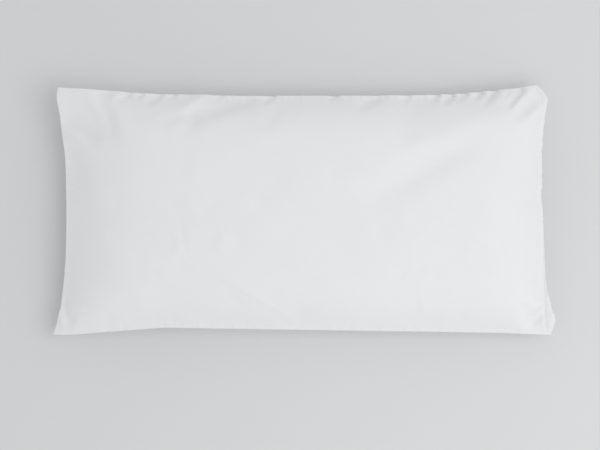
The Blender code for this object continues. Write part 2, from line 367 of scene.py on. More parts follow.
FINE_FOLDS = (
    # The deep pucker, the ridges and the crease of the upper right corner.
    Fold(346, 191, 312, 150, 5.7, -8.2, 0.3, 0.05, 0.42),
    Fold(361, 192, 321, 150, 6.6, 3.2, 0.2, 0.05, 0.50),
    Fold(373, 164, 335, 129, 6.6, 1.0, 0.2, 0.10, 0.60),
    Fold(375, 154, 350, 123, 6.3, -1.2, 0.3, 0.10, 0.60),
    # Puckers of the upper seam, from the right to the left, with ridges between.
    Fold(323, 188, 310, 172, 4.7, -3.4, 0.3, 0.05, 0.60),
    Fold(304, 188, 277, 158, 5.2, -8.0, 0.3, 0.05, 0.42),
    Fold(320, 189, 290, 154, 6.0, 3.7, 0.2, 0.05, 0.60),
    Fold(282, 184, 261, 167, 5.1, -7.4, 0.3, 0.05, 0.50),
    Fold(293, 186, 267, 161, 5.7, 2.7, 0.2, 0.05, 0.60),
    Fold(256, 183, 237, 167, 5.4, -8.0, 0.3, 0.05, 0.50),
    Fold(236, 181, 214, 161, 5.7, -8.6, 0.3, 0.05, 0.45),
    Fold(212, 181, 195, 166, 5.4, -7.2, 0.3, 0.05, 0.50),
    Fold(165, 180, 149, 161, 5.7, -4.8, 0.3, 0.05, 0.60),
    Fold(51, 180, 37, 169, 5.4, -8.4, 0.3, 0.05, 0.50),
    Fold(-47, 180, -68, 164, 6.3, -7.2, 0.3, 0.05, 0.45),
    Fold(-128, 181, -145, 170, 5.1, -3.2, 0.3, 0.05, 0.60),
    Fold(-203, 181, -219, 169, 5.4, -3.8, 0.3, 0.05, 0.60),
    Fold(-224, 183, -252, 158, 6.6, -5.2, 0.3, 0.05, 0.50),
    Fold(-254, 184, -267, 170, 5.1, -3.6, 0.3, 0.05, 0.60),
    Fold(-271, 184, -298, 166, 6.3, -4.2, 0.3, 0.05, 0.60),
    Fold(-281, 184, -309, 167, 6.0, 3.4, 0.2, 0.05, 0.60),
    # Faint creases and waves of the face.
    Fold(-120, -113, -1, -185, 4.1, 1.3, -0.3, 0.30, 0.30),
    Fold(-191, -19, -180, -79, 5.1, -1.1, 0.0, 0.40, 0.40),
    Fold(-181, -73, -147, -92, 4.7, -0.8, 0.0, 0.40, 0.50),
    Fold(364, 9, 351, -30, 6.3, -1.6, 0.3, 0.30, 0.50),
    Fold(169, -84, 144, -127, 6.3, 0.7, 0.0, 0.40, 0.50),
    Fold(264, -51, 241, -79, 5.7, 0.7, 0.0, 0.40, 0.50),
    Fold(35, -64, -4, -94, 7.9, -0.8, 0.0, 0.40, 0.50),
    Fold(195, -43, 169, -70, 6.3, -0.7, 0.0, 0.40, 0.50),
    Fold(-8, -24, -36, -53, 7.9, -0.6, 0.0, 0.40, 0.50),
    # Short folds at the lower seam, the closed end and the two lower corners.
    Fold(-208, -187, -221, -163, 5.7, 1.4, 0.0, 0.05, 0.60),
    Fold(-385, -157, -372, -192, 5.7, 4.6, 0.0, 0.20, 0.35),
    Fold(-349, -18, -328, -43, 5.1, -0.9, 0.0, 0.40, 0.50),
    Fold(-331, 26, -311, 6, 5.7, -0.7, 0.0, 0.40, 0.50),
    Fold(263, -187, 229, -157, 5.7, -1.0, 0.0, 0.05, 0.50),
    Fold(373, -128, 346, -152, 5.7, -1.6, 0.2, 0.05, 0.60),
    Fold(379, -134, 331, -181, 7.9, 4.6, 0.3, 0.10, 0.40),
)


def lerp(start, end, share):
    return start + (end - start) * share


def bell(distance, reach):
    """1 at no distance, falling off smoothly on both sides."""
    return np.exp(-((distance / reach) ** 2.0))


def smoothstep(value):
    """Ease from 0 to 1, held at both ends."""
    held = np.clip(value, 0.0, 1.0)
    return held * held * (3.0 - 2.0 * held)


def smooth_curve(stations):
    """A function through the stations, in metres, with an even slope at each."""
    places = np.array([station.along * MM for station in stations])
    values = np.array([station.inset * MM for station in stations])
    slopes = np.empty(len(places))
    slopes[1:-1] = (values[2:] - values[:-2]) / (places[2:] - places[:-2])
    slopes[0] = (values[1] - values[0]) / (places[1] - places[0])
    slopes[-1] = (values[-1] - values[-2]) / (places[-1] - places[-2])

    def read(place):
        held = np.clip(place, places[0], places[-1])
        index = np.clip(np.searchsorted(places, held) - 1, 0, len(places) - 2)
        span = places[index + 1] - places[index]
        t = (held - places[index]) / span
        bend = slopes[index] * t * (1.0 - t) ** 2 - slopes[index + 1] * t * t * (1.0 - t)
        straight = lerp(values[index], values[index + 1], t * t * (3.0 - 2.0 * t))
        return straight + span * bend

    return read


upper_inset = smooth_curve(UPPER_SIDE)
lower_inset = smooth_curve(LOWER_SIDE)
closed_inset = smooth_curve(CLOSED_END)
front_lip_inset = smooth_curve(MOUTH_FRONT_LIP)
back_lip_inset = smooth_curve(MOUTH_BACK_LIP)


def grid_lines(low_lines, high_lines, even_cells, span):
    """Places from -1 to 1 of the grid's lines, closer together at both edges."""
    low = 2.0 * MM * np.array(low_lines) / span - 1.0
    high = 1.0 - 2.0 * MM * np.array(high_lines[::-1]) / span
    even = np.linspace(low[-1], high[0], even_cells + 1)
    return np.concatenate((low[:-1], even, high[1:]))


LINES_ALONG = grid_lines(SEAM_LINES, MOUTH_LINES, EVEN_CELLS_ALONG, LENGTH)
LINES_ACROSS = grid_lines(SEAM_LINES, SEAM_LINES, EVEN_CELLS_ACROSS, WIDTH)


def on_lines(place, lines):
    """Move places on an even grid from -1 to 1 to the given lines."""
    return np.interp(place, np.linspace(-1.0, 1.0, len(lines)), lines)


def from_end(u):
    """Distance from the nearer end of the case, in metres."""
    return 0.5 * LENGTH * (1.0 - np.abs(u))


def from_side(v):
    """Distance from the nearer long side, in metres."""
    return 0.5 * WIDTH * (1.0 - np.abs(v))


def from_seams(u, v):
    """Distance from the nearest edge of the case, in metres."""
    return np.minimum(from_end(u), from_side(v))


def ear_share(u, v):
    """Least at the tip of each flat corner ear, 1 beyond the ears."""
    share = np.ones_like(u)
    for ear in EARS:
        along = 0.5 * LENGTH * (1.0 - ear.x_sign * u)
        across = 0.5 * WIDTH * (1.0 - ear.y_sign * v)
        a = np.maximum(along - EAR_LEAN * across, 0.0) / (ear.along * MM)
        b = np.maximum(across - EAR_LEAN * along, 0.0) / (ear.across * MM)
        away = (a**EAR_SQUARENESS + b**EAR_SQUARENESS) ** (1.0 / EAR_SQUARENESS)
        share *= lerp(ear.fill, 1.0, smoothstep((away - EAR_FLAT_TO) / EAR_FADE))
    return share


def risen(distance, run):
    """Share of its full height that the face has reached at a distance from a seam."""
    return np.maximum(1.0 - np.exp(-((distance / run) ** RISE_CURVE)), 1e-9)


def crown(u, v):
    """Fullness of the filling: 0 at the rim and 1 in the middle."""
    along = risen(from_end(u), np.where(u > 0.0, MOUTH_RUN, CLOSED_END_RUN))
    across = risen(from_side(v), LONG_SIDE_RUN)
    fall = 1.0 - MIDDLE_FALL * 0.5 * (u * u + v * v)
    return ear_share(u, v) * fall / (1.0 / along + 1.0 / across - 1.0)


def lifted_off(distance, inset):
    """Share of the seam's height that the underside keeps at a distance from it."""
    share = np.clip(distance / inset, 0.0, 1.0)
    return (1.0 - share**REST_BULGE) ** REST_CURVE


def underside_share(u, v):
    """The underside's height as a share of the seam's: 0 where it rests."""
    at_ends = 1.0 - lifted_off(from_end(u), REST_INSET_ALONG)
    at_sides = 1.0 - lifted_off(from_side(v), REST_INSET_ACROSS)
    return 1.0 - at_ends * at_sides * ear_share(u, v)


def seam_height(u, v):
    """Height of the seam line: lowest at the corners, highest mid side."""
    long_side = SEAM_Z_LONG_SIDE - SEAM_Z_CORNER
    short_side = SEAM_Z_SHORT_SIDE - SEAM_Z_CORNER
    long_side = long_side * (1.0 - np.abs(u) ** SEAM_FLATNESS_LONG_SIDE)
    short_side = short_side * (1.0 - np.abs(v) ** SEAM_FLATNESS_SHORT_SIDE)
    blended = (long_side**SEAM_BLEND + short_side**SEAM_BLEND) ** (1.0 / SEAM_BLEND)
    height = SEAM_Z_CORNER + blended
    for ear in EARS:
        along = 0.5 * LENGTH * (1.0 - ear.x_sign * u)
        across = 0.5 * WIDTH * (1.0 - ear.y_sign * v)
        near = smoothstep(1.0 - np.hypot(along, across) / EAR_RAISE_REACH)
        height += ear.raised * MM * near
    return height


def fold_lift(folds, x, y):
    """How far the folds raise or lower the cloth at each place."""
    lift = np.zeros_like(x)
    for fold in folds:
        start = np.array((fold.x0, fold.y0)) * MM
        run = np.array((fold.x1, fold.y1)) * MM - start
        length = math.hypot(*run)
        share = ((x - start[0]) * run[0] + (y - start[1]) * run[1]) / (length * length)
        aside = ((x - start[0]) * run[1] - (y - start[1]) * run[0]) / length
        width = fold.width * MM * np.where(aside > 0.0, 1.0 + fold.skew, 1.0 - fold.skew)
        grow = smoothstep(0.5 + share / (2.0 * fold.fade_start))
        die = smoothstep((1.0 - share) / fold.fade_end)
        lift += fold.lift * MM * grow * die * bell(aside, width)
    return lift


def mouth_share(u, v):
    """1 on the open part of the mouth end, 0 at its corners and elsewhere."""
    open_part = smoothstep((1.0 - np.abs(v)) / MOUTH_CLOSED_END)
    return open_part * smoothstep((u - MOUTH_STARTS) / MOUTH_RAMP)


def place_on_plan(u, v, lip_inset):
    """Where points of a panel lie, seen from above."""
    row_y = 0.5 * WIDTH * v
    left = closed_inset(row_y) - 0.5 * LENGTH
    right = 0.5 * LENGTH - lip_inset(row_y)
    x = lerp(left, right, 0.5 * (u + 1.0))
    low = lower_inset(x) - 0.5 * WIDTH
    high = 0.5 * WIDTH - upper_inset(x)
    return x, lerp(low, high, 0.5 * (v + 1.0))


def shape_points(u, v, w, sizes, folds=()):
    """Turn points of the flat bag into their places on the filled one.

    u runs along the bag and v across it, from -1 to 1. w is 1 on the face,
    -1 on the underside and between them on the rim.
    """
    front_x, front_y = place_on_plan(u, v, front_lip_inset)
    back_x, back_y = place_on_plan(u, v, back_lip_inset)
    x = np.where(w > 0.0, front_x, back_x)
    y = np.where(w > 0.0, front_y, back_y)
    seam = seam_height(u, v)
    mouth = mouth_share(u, v)
    half_mouth = 0.5 * sizes.slit_height + sizes.lip_thickness
    half_edge = lerp(0.5 * SEAM_THICKNESS, half_mouth, mouth)

    face = w > EDGE
    under = w < -EDGE
    rim = ~(face | under)
    inward = from_seams(u, v)
    fold = fold_lift(folds, front_x, front_y)
    free = lerp(SEAM_FOLLOWS, 1.0, smoothstep(inward / FOLD_START))
    face_z = lerp(seam + half_edge, LOFT, crown(u, v)) + free * fold
    dip = SEAM_FOLLOWS * fold * smoothstep(1.0 - inward / DIP_REACH)
    under_z = (seam - half_edge) * underside_share(u, v) + dip

    rounding = ROUNDING * (1.0 - w * w) - SEAM_GROOVE * (np.abs(w) < GROOVE_ROWS)
    y = y + np.where(rim & (np.abs(v) > EDGE), np.sign(v) * rounding, 0.0)
    x = x - np.where(rim & (u < -EDGE), rounding, 0.0)
    x = x + np.where(rim & (u > EDGE), rounding * (1.0 - mouth), 0.0)
    in_slit = rim & (u > EDGE) & (np.abs(w) < SLIT_ROWS)
    deepest = np.minimum(front_x, back_x) - sizes.slit_depth
    x = np.where(in_slit, lerp(x, deepest, mouth), x)
    half_slit = np.clip(0.5 * RIM_ROWS * w, -1.0, 1.0) * 0.5 * sizes.slit_height
    rim_z = seam + dip + lerp(w * half_edge, half_slit, mouth)
    z = np.select([face, under], [face_z, under_z], rim_z)
    return np.column_stack((x, y, z))


class PillowSizes(bpy.types.PropertyGroup):
    """Sizes of the cloth and its sewing."""

    lip_thickness: bpy.props.FloatProperty(
        name="Lip thickness",
        description="Thickness of each hemmed lip of the mouth",
        default=1.8 * MM,
        unit="LENGTH",
    )
    slit_height: bpy.props.FloatProperty(
        name="Slit height",
        description="Gap between the two lips of the mouth",
        default=2.2 * MM,
        unit="LENGTH",
    )
    slit_depth: bpy.props.FloatProperty(
        name="Slit depth",
        description="How far in the gap between the lips reaches",
        default=11.0 * MM,
        unit="LENGTH",
    )
    hem_depth: bpy.props.FloatProperty(
        name="Hem depth",
        description="Distance from the mouth's edge to the hem's stitching",
        default=9.0 * MM,
        unit="LENGTH",
    )
    stitch_pitch: bpy.props.FloatProperty(
        name="Stitch pitch",
        description="Distance from one hem stitch to the next",
        default=3.2 * MM,
        unit="LENGTH",
    )
    stitch_length: bpy.props.FloatProperty(
        name="Stitch length",
        description="Length of the thread that shows in one hem stitch",
        default=2.5 * MM,
        unit="LENGTH",
    )
    thread_width: bpy.props.FloatProperty(
        name="Thread width",
        description="Width of the sewing thread",
        default=0.45 * MM,
        unit="LENGTH",
    )
    hem_thickness: bpy.props.FloatProperty(
        name="Hem thickness",
        description="How far the folded hem stands proud of the cloth beside it",
        default=0.45 * MM,
        unit="LENGTH",
    )
    hem_groove: bpy.props.FloatProperty(
        name="Hem groove",
        description="How deep the stitching draws the cloth in",
        default=0.5 * MM,
        unit="LENGTH",
    )
    weave_pitch: bpy.props.FloatProperty(
        name="Weave pitch",
        description="Distance from one thread of the weave to the next",
        default=0.55 * MM,
        unit="LENGTH",
    )


class PillowColours(bpy.types.PropertyGroup):
    """Colours of the cloth, the thread and the floor."""

    cotton: bpy.props.FloatVectorProperty(
        name="Cotton",
        description="Colour of the white cotton",
        default=(0.800, 0.808, 0.824),
        size=3,
        subtype="COLOR",
    )
    thread: bpy.props.FloatVectorProperty(
        name="Thread",
        description="Colour of the sewing thread",
        default=(0.82, 0.825, 0.835),
        size=3,
        subtype="COLOR",
    )
    floor: bpy.props.FloatVectorProperty(
        name="Floor",
        description="Colour of the plain floor",
        default=(0.695, 0.705, 0.711),
        size=3,
        subtype="COLOR",
    )


class Value:
    """A node socket that takes part in Python arithmetic by adding Math nodes."""

    def __init__(self, shader, socket):
        self.shader = shader
        self.socket = socket

    def math(self, operation, *others):
        sockets = {0: self.socket}
        for index, other in enumerate(others, 1):
            sockets[index] = other
        return self.shader.node("ShaderNodeMath", {"operation": operation}, sockets)

    def __add__(self, other):
        return self.math("ADD", other)

    def __sub__(self, other):
        return self.math("SUBTRACT", other)

    def __rsub__(self, other):
        flipped = {0: other, 1: self.socket}
        return self.shader.node("ShaderNodeMath", {"operation": "SUBTRACT"}, flipped)

    def __mul__(self, other):
        return self.math("MULTIPLY", other)

    __radd__ = __add__
    __rmul__ = __mul__


class Shader:
    """A material's node tree, with its Principled BSDF and short ways to add nodes."""

    def __init__(self, name):
        self.material = bpy.data.materials.new(name)
        self.material.use_nodes = True
        self.tree = self.material.node_tree
        self.surface = self.tree.nodes["Principled BSDF"]

    def node(self, kind, settings=None, sockets=None, output=0):
        """Add a node, set its settings, then fill its sockets, and return an output."""
        made = self.tree.nodes.new(kind)
        for name, value in (settings or {}).items():
            setattr(made, name, value)
        for name, value in (sockets or {}).items():
            self.fill(made.inputs[name], value)
        return Value(self, made.outputs[output])

    def fill(self, socket, value):
        """Link a value to a socket, or set a constant on it."""
        if isinstance(value, Value):
            value = value.socket
        if isinstance(value, bpy.types.NodeSocket):
            self.tree.links.new(value, socket)
        else:
            socket.default_value = value

    def set(self, **sockets):
        """Fill sockets of the Principled BSDF, with underscores for spaces."""
        for name, value in sockets.items():
            self.fill(self.surface.inputs[name.replace("_", " ")], value)

    def tinted(self, colour, shade):
        """A colour made lighter or darker by a shade, where 1 leaves it as it is."""
        settings = {"operation": "SCALE"}
        return self.node("ShaderNodeVectorMath", settings, {0: colour, "Scale": shade})

    def raised(self, height, strength, distance):
        """A normal for a relief that is the distance high."""
        sockets = {"Height": height, "Strength": strength, "Distance": distance}
        return self.node("ShaderNodeBump", None, sockets)

    def map_noise(self, uv, scale, detail):
        """Noise on a flat map, with its own scale along each axis."""
        settings = {"operation": "MULTIPLY"}
        place = self.node("ShaderNodeVectorMath", settings, {0: uv, 1: (*scale, 0.0)})
        sockets = {"Vector": place, "Detail": detail, "Scale": 1.0}
        return self.node("ShaderNodeTexNoise", {"noise_dimensions": "2D"}, sockets)

    def object_noise(self, scale, detail):
        """Noise all through the object."""
        place = self.node("ShaderNodeTexCoord", output="Object")
        sockets = {"Vector": place, "Scale": scale, "Detail": detail}
        return self.node("ShaderNodeTexNoise", None, sockets)


def cotton_material(colour, weave_pitch):
    """White cotton in plain weave, on a UV map in metres."""
    shader = Shader("white_cotton")
    uv = shader.node("ShaderNodeUVMap", {"uv_map": "cloth"})
    across = shader.node("ShaderNodeSeparateXYZ", None, {"Vector": uv}, "X")
    along = shader.node("ShaderNodeSeparateXYZ", None, {"Vector": uv}, "Y")
    turn = math.pi / weave_pitch
    warp = (across * turn).math("SINE")
    weft = (along * turn).math("SINE")
    over = (warp * weft).math("GREATER_THAN", 0.0)
    weave = warp.math("ABSOLUTE") * over + weft.math("ABSOLUTE") * (1.0 - over)
    slubs = shader.map_noise(uv, (SLUBS_ALONG_THREAD, SLUBS_ACROSS_THREAD), 2.0)
    slubs_across = shader.map_noise(uv, (SLUBS_ACROSS_THREAD, SLUBS_ALONG_THREAD), 2.0)
    clouds = shader.map_noise(uv, (CLOUDS, CLOUDS), 3.0)
    height = weave * THREAD_RELIEF + slubs * SLUB_RELIEF + slubs_across * SLUB_RELIEF
    shade = COTTON_SHADE + (clouds - 0.5) * CLOUD_SHADE
    # The weave's term is painted shade between the threads and painted light on their crowns;
    # the thick places' term is the thread's own tone, uneven at random.
    shade = shade + (weave - MEAN_THREAD) * SLUB_TONE_AND_WEAVE_SHADE + (slubs - 0.5) * SLUB_TONE_AND_WEAVE_SHADE
    shader.set(
        Base_Color=shader.tinted(colour, shade),
        Roughness=COTTON_ROUGHNESS + (clouds - 0.5) * CLOUD_ROUGHNESS,
        Normal=shader.raised(height, 0.35, WEAVE_DEPTH),
        Sheen_Weight=0.15,
        Sheen_Roughness=0.45,
        Specular_IOR_Level=0.25,
    )
    return shader.material


def thread_material(colour):
    """Matte cotton thread with a fine twist."""
    shader = Shader("sewing_thread")
    twist = shader.object_noise(TWISTS, 1.0)
    shader.set(
        Base_Color=shader.tinted(colour, 0.95 + twist * 0.08),
        Roughness=0.7,
        Normal=shader.raised(twist, 0.4, TWIST_DEPTH),
    )
    return shader.material


def floor_material(colour):
    """Plain matte floor."""
    shader = Shader("plain_floor")
    grain = shader.object_noise(3.0, 2.0)
    shader.set(
        Base_Color=shader.tinted(colour, 0.995 + grain * 0.01),
        Roughness=0.9,
        Specular_IOR_Level=0.1,
    )
    return shader.material


def flat_bag():
    """A unit bag: two gridded panels joined by a rim of RIM_ROWS rows.

    Each point carries its own place on the bag, which stays with it as the
    cloth is shaped, settled and subdivided.
    """
    bm = bmesh.new()
    cells_along = len(LINES_ALONG) - 1
    cells_across = len(LINES_ACROSS) - 1
    bmesh.ops.create_grid(bm, x_segments=cells_along, y_segments=cells_across, size=1.0)
    bmesh.ops.translate(bm, verts=bm.verts, vec=(0.0, 0.0, 1.0))
    grown = bmesh.ops.extrude_face_region(bm, geom=bm.faces[:], use_keep_orig=True)
    underside = [item for item in grown["geom"] if isinstance(item, bmesh.types.BMVert)]
    bmesh.ops.translate(bm, verts=underside, vec=(0.0, 0.0, -2.0))
    upright = [edge for edge in bm.edges if edge.verts[0].co.z * edge.verts[1].co.z < 0.0]
    bmesh.ops.subdivide_edges(bm, edges=upright, cuts=RIM_ROWS - 1, use_grid_fill=True)
    bmesh.ops.recalc_face_normals(bm, faces=bm.faces)
    return bm


def read_points(mesh):
    points = np.empty(len(mesh.vertices) * 3)
    mesh.vertices.foreach_get("co", points)
    return points.reshape(-1, 3)


def write_points(mesh, points):
    mesh.vertices.foreach_set("co", np.ascontiguousarray(points).ravel())
    mesh.update()


def read_normals(mesh):
    normals = np.empty(len(mesh.vertices) * 3)
    mesh.vertex_normals.foreach_get("vector", normals)
    return normals.reshape(-1, 3)


def store(mesh, name, values):
    """Keep a number for each point as an attribute."""
    layer = mesh.attributes.new(name, "FLOAT", "POINT")
    layer.data.foreach_set("value", values.astype(np.float32))


def stored(mesh, name):
    values = np.empty(len(mesh.vertices), np.float32)
    mesh.attributes[name].data.foreach_get("value", values)
    return values.astype(float)


def bag_places(mesh):
    """Where each point lies on the unit bag: along it, across it and by side."""
    return stored(mesh, "along"), stored(mesh, "across"), stored(mesh, "side")


def baked(item):
    """The item's mesh with its modifiers applied."""
    graph = bpy.context.evaluated_depsgraph_get()
    return bpy.data.meshes.new_from_object(item.evaluated_get(graph), depsgraph=graph)


def subdivided(item):
    """Apply one level of subdivision to the item."""
    surface = item.modifiers.new("Subdivision", "SUBSURF")
    surface.levels = 1
    surface.render_levels = 1
    surface.boundary_smooth = "PRESERVE_CORNERS"
    finer = baked(item)
    item.modifiers.clear()
    item.data = finer


def lay_cloth_map(mesh):
    """A UV map in metres over both panels, which turns back along their rims."""
    corners = np.empty(len(mesh.loops), np.int32)
    mesh.loops.foreach_get("vertex_index", corners)
    u, v, w = bag_places(mesh)
    front_x = place_on_plan(u, v, front_lip_inset)[0]
    back_x = place_on_plan(u, v, back_lip_inset)[0]
    from_lip = np.where(w > 0.0, front_x, back_x) - read_points(mesh)[:, 0]
    in_mouth = (u > EDGE) & (np.abs(w) < EDGE)
    turned = SEAM_THICKNESS * (1.0 - w * w)
    along = 0.5 * LENGTH * (u + 1.0) + np.sign(u) * turned * (np.abs(u) > EDGE)
    along += np.where(in_mouth, np.maximum(from_lip, 0.0), 0.0)
    across = 0.5 * WIDTH * (v + 1.0) + np.sign(v) * turned * (np.abs(v) > EDGE)
    places = np.column_stack((along, across))
    cloth = mesh.uv_layers.new(name="cloth")
    cloth.data.foreach_set("uv", places[corners].ravel())


def pin_and_slacken(case):
    """Hold the seams and what lies on the floor, and mark where the cloth is slack."""
    u, v, w = bag_places(case.data)
    fixed = (np.abs(w) < EDGE) | (np.abs(u) > EDGE) | (np.abs(v) > EDGE)
    fixed |= read_points(case.data)[:, 2] < LIES_BELOW
    held = case.vertex_groups.new(name="held")
    held.add(np.flatnonzero(fixed).tolist(), 1.0, "REPLACE")
    near_seam = 1.0 - smoothstep(from_seams(u, v) / SLACK_REACH)
    slack = case.vertex_groups.new(name="slack")
    steps = np.round(near_seam * SLACK_STEPS) / SLACK_STEPS
    for step in np.unique(steps):
        slack.add(np.flatnonzero(steps == step).tolist(), float(step), "REPLACE")


def make_cloth(case):
    """Give the case Blender's cloth, filled under pressure and without gravity."""
    cloth = case.modifiers.new("Cloth", "CLOTH")
    settings = cloth.settings
    settings.quality = CLOTH_QUALITY
    settings.mass = CLOTH_POINT_MASS
    settings.tension_stiffness = CLOTH_STIFFNESS
    settings.compression_stiffness = CLOTH_STIFFNESS
    settings.shear_stiffness = CLOTH_SHEAR
    settings.bending_model = "ANGULAR"
    settings.bending_stiffness = CLOTH_BENDING
    settings.vertex_group_mass = "held"
    settings.vertex_group_shrink = "slack"
    settings.shrink_min = -SLACK_IN_MIDDLE
    settings.shrink_max = -SLACK_AT_SEAMS
    settings.use_pressure = True
    settings.use_pressure_volume = True
    settings.uniform_pressure_force = 0.0
    settings.target_volume = mesh_volume(case.data) * FILLING_GROWTH
    settings.pressure_factor = FILLING_PRESSURE
    settings.effector_weights.gravity = 0.0
    cloth.collision_settings.use_collision = False
    cloth.point_cache.frame_start = 1
    cloth.point_cache.frame_end = SETTLE_FRAMES


def settled_movement(case):
    """How far each point moves as the slack cloth puckers around its filling."""
    scene = bpy.context.scene
    start = read_points(case.data)
    pin_and_slacken(case)
    make_cloth(case)
    for frame_number in range(1, SETTLE_FRAMES + 1):
        scene.frame_set(frame_number)
    settled = baked(case)
    case.modifiers.clear()
    case.vertex_groups.clear()
    scene.frame_set(1)
    moved = read_points(settled) - start
    bpy.data.meshes.remove(settled)
    far = np.maximum(np.linalg.norm(moved, axis=1), 1e-9)
    moved *= (MOST_MOVED * np.tanh(far / MOST_MOVED) / far)[:, None]
    below = KEPT_ON_UNDERSIDE * smoothstep(start[:, 2] / KEPT_ABOVE_FLOOR)
    on_face = stored(case.data, "side") > 0.0
    return moved * np.where(on_face, KEPT_ON_FACE, below)[:, None]


def mesh_volume(mesh):
    """How much the mesh holds, in cubic metres."""
    bm = bmesh.new()
    bm.from_mesh(mesh)
    volume = bm.calc_volume()
    bm.free()
    return volume


class PILLOW_OT_case(bpy.types.Operator):
    """Model the filled cotton case in place of its solid"""

    bl_idname = "pillow.case"
    bl_label = "Filled case"

    def execute(self, context):
        sizes = context.scene.pillow_sizes
        bm = flat_bag()
        mesh = bpy.data.meshes.new("case_cloth")
        bm.to_mesh(mesh)
        bm.free()
        flat = read_points(mesh)
        u = on_lines(flat[:, 0], LINES_ALONG)
        v = on_lines(flat[:, 1], LINES_ACROSS)
        w = flat[:, 2]
        store(mesh, "along", u)
        store(mesh, "across", v)
        store(mesh, "side", w)
        write_points(mesh, shape_points(u, v, w, sizes))
        case = bpy.data.objects.new("case_cloth", mesh)
        context.scene.collection.objects.link(case)
        moved = settled_movement(case)
        write_points(mesh, shape_points(u, v, w, sizes, MAIN_FOLDS) + moved)
        subdivided(case)
        mesh = case.data
        add_fine_folds(mesh)
        add_dents_and_ripples(mesh)
        raise_hems(mesh, sizes)
        lay_cloth_map(mesh)
        fit_to_solid(mesh)
        mesh.shade_smooth()
        colour = context.scene.pillow_colours.cotton
        mesh.materials.append(cotton_material(colour, sizes.weave_pitch))
        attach(case, "root")
        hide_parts(NODE)
        return {"FINISHED"}


def add_fine_folds(mesh):
    """Press the short puckers and creases into the face."""
    points = read_points(mesh)
    u, v, w = bag_places(mesh)
    lift = fold_lift(FINE_FOLDS, *place_on_plan(u, v, front_lip_inset))
    below = smoothstep(1.0 - from_seams(u, v) / DIP_REACH)
    points[:, 2] += lift * np.where(w > -NEAR_EDGE, 1.0, below)
    write_points(mesh, points)


def random_dents(count, chance):
    """Short soft dents and swellings, anywhere on the cloth, most of them slanting."""
    dents = []
    for _ in range(count):
        x = chance.uniform(-DENT_FIELD[0], DENT_FIELD[0]) * LENGTH / MM
        y = chance.uniform(-DENT_FIELD[1], DENT_FIELD[1]) * WIDTH / MM
        turn = chance.normal(DENT_SLANT, DENT_SLANT_SPREAD)
        run = chance.uniform(*DENT_LENGTHS)
        width = chance.uniform(*DENT_WIDTHS)
        lift = chance.normal(0.0, DENT_DEPTH)
        x1 = x - run * math.cos(turn)
        y1 = y - run * math.sin(turn)
        dents.append(Fold(x, y, x1, y1, width, lift, 0.0, *DENT_FADES))
    return dents


def ripple(place, chance):
    """An uneven wave along a seam, between about -1 and 1."""
    wave = np.zeros_like(place)
    for length in RIPPLE_LENGTHS:
        phase = chance.uniform(0.0, 2.0 * math.pi)
        slow = place / (RIPPLE_STRETCH_WAVES * length) + 3.0 * phase
        stretch = 1.0 + RIPPLE_STRETCH * np.sin(slow)
        wave += np.sin(2.0 * math.pi * place * stretch / length + phase)
    return wave / math.sqrt(len(RIPPLE_LENGTHS))


def add_dents_and_ripples(mesh):
    """Dent both panels softly and ripple the cloth beside its sewn edges."""
    chance = np.random.default_rng(SEED)
    points = read_points(mesh)
    normals = read_normals(mesh)
    u, v, w = bag_places(mesh)
    free = smoothstep(points[:, 2] / KEPT_ABOVE_FLOOR)
    clear_of_seams = smoothstep(from_seams(u, v) / DENT_CLEARANCE)
    lift = np.zeros(len(points))
    for panel in (w > 0.5, w < -0.5):
        dents = fold_lift(random_dents(DENTS, chance), points[:, 0], points[:, 1])
        lift += np.where(panel, dents * clear_of_seams, 0.0)
        along = ripple(points[:, 0], chance) * bell(from_side(v), SEAM_RIPPLE_REACH)
        across = ripple(points[:, 1], chance) * bell(from_end(u), SEAM_RIPPLE_REACH)
        lift += np.where(panel, RIPPLE_HEIGHT * (along + across), 0.0)
    points += normals * (lift * free)[:, None]
    write_points(mesh, points)


def hem_line(mesh, sizes):
    """The grid line nearest the hem's stitching: its distance from the mouth's edge."""
    depths = np.unique(np.round(from_end(stored(mesh, "along")), 6))
    return depths[np.argmin(np.abs(depths - sizes.hem_depth))]


def raise_hems(mesh, sizes):
    """Thicken both lips up to the hem's stitching and draw the cloth in along it."""
    chance = np.random.default_rng(SEED + 1)
    points = read_points(mesh)
    normals = read_normals(mesh)
    u, _, w = bag_places(mesh)
    depth = from_end(u)
    stitched = hem_line(mesh, sizes)
    on_hem = (u > 0.5) & (np.abs(w) > NEAR_EDGE)
    proud = sizes.hem_thickness * smoothstep((stitched - depth) / HEM_STEP + 0.5)
    proud *= smoothstep(depth / HEM_EDGE)
    groove = sizes.hem_groove * bell(depth - stitched, HEM_GROOVE_WIDTH)
    wave = ripple(points[:, 1] + HEM_RIPPLE_APART * np.sign(w), chance)
    waves = HEM_RIPPLE_SHARE * RIPPLE_HEIGHT * wave * bell(depth - stitched, HEM_RIPPLE_REACH)
    lift = np.where(on_hem, proud - groove + waves, 0.0)
    points += normals * lift[:, None]
    write_points(mesh, points)


def fit_to_solid(mesh):
    """Centre the cloth over the solid's box and rest it on the floor."""
    points = read_points(mesh)
    low = points.min(axis=0)
    high = points.max(axis=0)
    middle = 0.5 * (low + high)
    points[:, 0] += 0.5 * (CAD_LOW.x + CAD_HIGH.x) - middle[0]
    points[:, 1] += 0.5 * (CAD_LOW.y + CAD_HIGH.y) - middle[1]
    points[:, 2] *= np.where(points[:, 2] > 0.0, LOFT / high[2], 0.0)
    write_points(mesh, points)


def stitch_line(mesh, sizes, side):
    """Points and normals along the hem's stitching on one lip, from side to side."""
    u, v, w = bag_places(mesh)
    on_line = np.abs(from_end(u) - hem_line(mesh, sizes)) < 0.01 * MM
    on_line &= (w * side > EDGE) & (u > 0.5)
    index = np.flatnonzero(on_line)
    index = index[np.argsort(v[index])]
    return read_points(mesh)[index], read_normals(mesh)[index]


